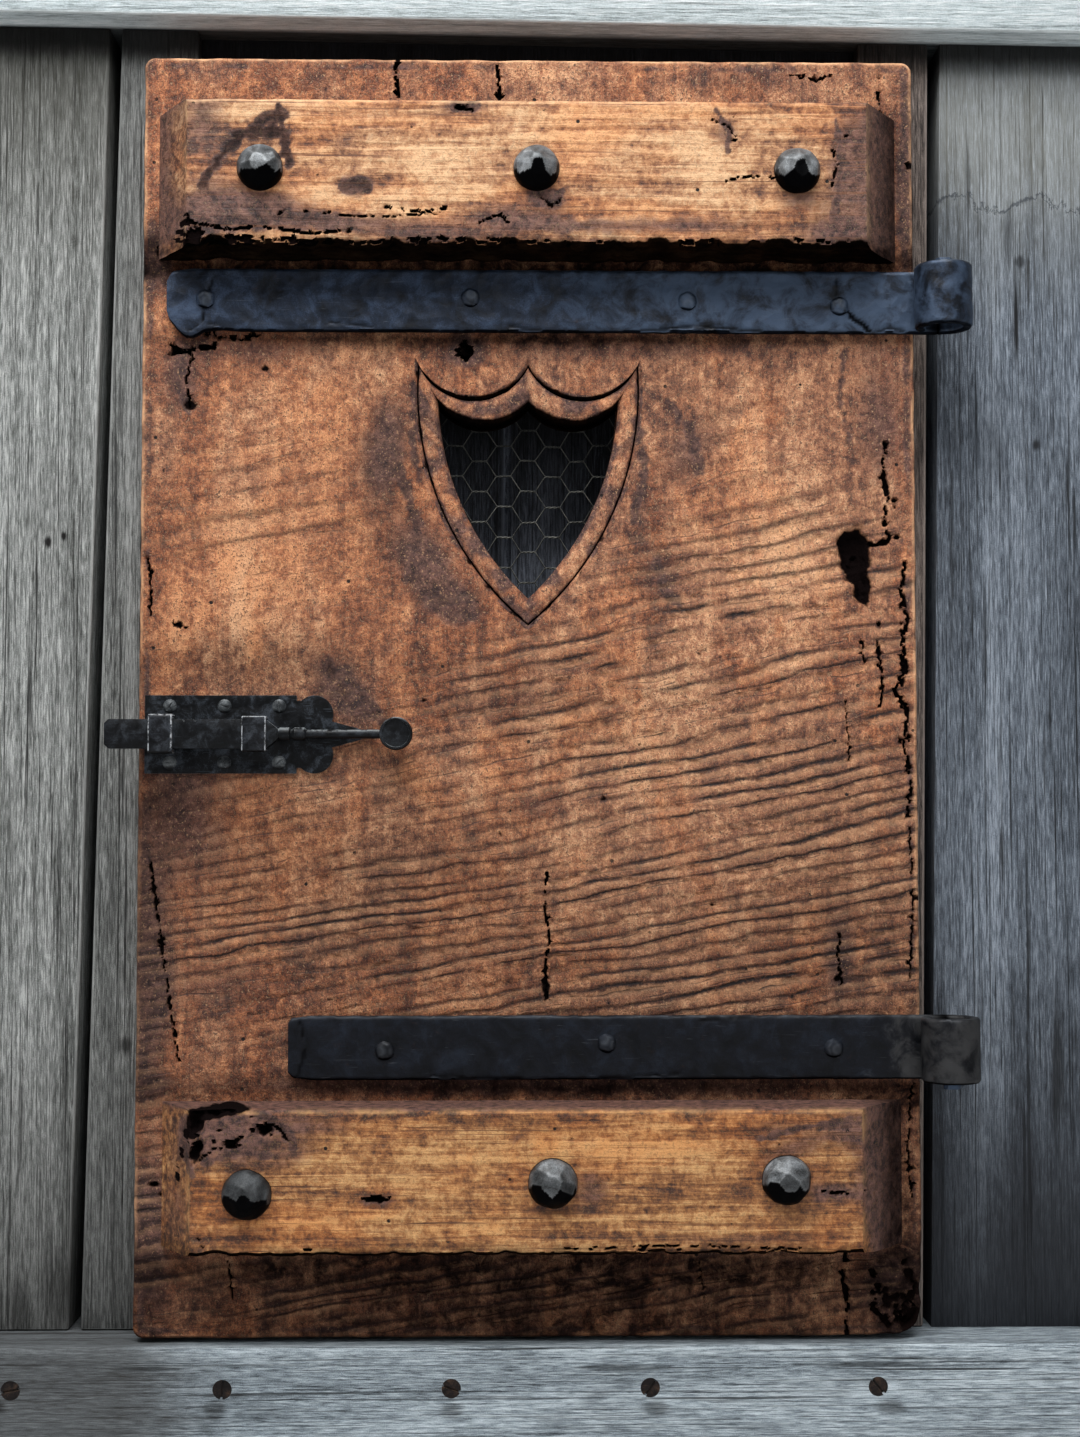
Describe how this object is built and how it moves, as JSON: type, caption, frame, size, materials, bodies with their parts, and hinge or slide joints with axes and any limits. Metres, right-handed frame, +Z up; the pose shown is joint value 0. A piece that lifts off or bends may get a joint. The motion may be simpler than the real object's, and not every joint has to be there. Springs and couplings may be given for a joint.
{
  "type": "wooden hatch door",
  "caption": "Small upright plank door in a weathered frame, with two bevelled battens, strap hinges, a slide bolt and a shield-shaped window over wire mesh.",
  "frame": {"origin": "middle of the frame's width, on the underside of the sill rail, in the plane of the posts' front faces", "axes": "+X to the right as seen from the room, +Y through the frame towards its back, +Z up; the room side, with the battens and iron, looks at -Y"},
  "size_m": [0.69, 0.1375, 0.925],
  "materials": {
    "orange_wood": "rough-sawn orange-brown softwood with a dried stain, worn pale at the arrises",
    "golden_wood": "paler golden softwood with dark rot at a knot",
    "pale_weathered_wood": "whitish bleached rail, dry and fissured",
    "grey_weathered_wood": "silver-grey weathered board",
    "dark_weathered_wood": "dark grey board in the shade of the frame",
    "dark_iron": "hand-forged iron, blue-black, hammered",
    "galvanised_steel": "dull zinc-grey pressed steel, stained and scratched",
    "dull_steel": "oxidised steel wire and screws"
  },
  "bodies": {
    "frame": {"head_rail": "pale_weathered_wood", "sill_rail": "pale_weathered_wood", "left_post": "grey_weathered_wood", "right_post": "grey_weathered_wood", "left_stop": "grey_weathered_wood", "right_stop": "grey_weathered_wood", "head_stop": "dark_weathered_wood", "left_backing_board": "dark_weathered_wood", "right_backing_board": "dark_weathered_wood", "upper_pintle": "dark_iron", "lower_pintle": "dark_iron", "sill_screws": "dull_steel"},
    "leaf": {"door_leaf": "orange_wood", "upper_batten": "orange_wood", "lower_batten": "golden_wood", "stud_upper_left": "dark_iron", "stud_upper_middle": "dark_iron", "stud_upper_right": "dark_iron", "stud_lower_left": "dark_iron", "stud_lower_middle": "dark_iron", "stud_lower_right": "dark_iron", "upper_strap": "dark_iron", "lower_strap": "dark_iron", "upper_strap_nails": "dark_iron", "lower_strap_nails": "dark_iron", "bolt_plate": "galvanised_steel", "left_bolt_guide": "galvanised_steel", "right_bolt_guide": "galvanised_steel", "bolt_plate_screws": "dull_steel", "wire_mesh": "dull_steel", "mesh_staples": "dull_steel"},
    "bolt": {"bolt_bar": "galvanised_steel"}
  },
  "joints": [
    {"name": "door_hinge", "type": "hinge", "parent": "frame", "child": "leaf", "pos_m": [0.243, -0.048, 0.45], "axis": [0, 0, 1], "range_deg": [0, 175]},
    {"name": "bolt_slide", "type": "slide", "parent": "leaf", "child": "bolt", "axis": [1, 0, 0], "range_m": [0, 0.022]}
  ]
}
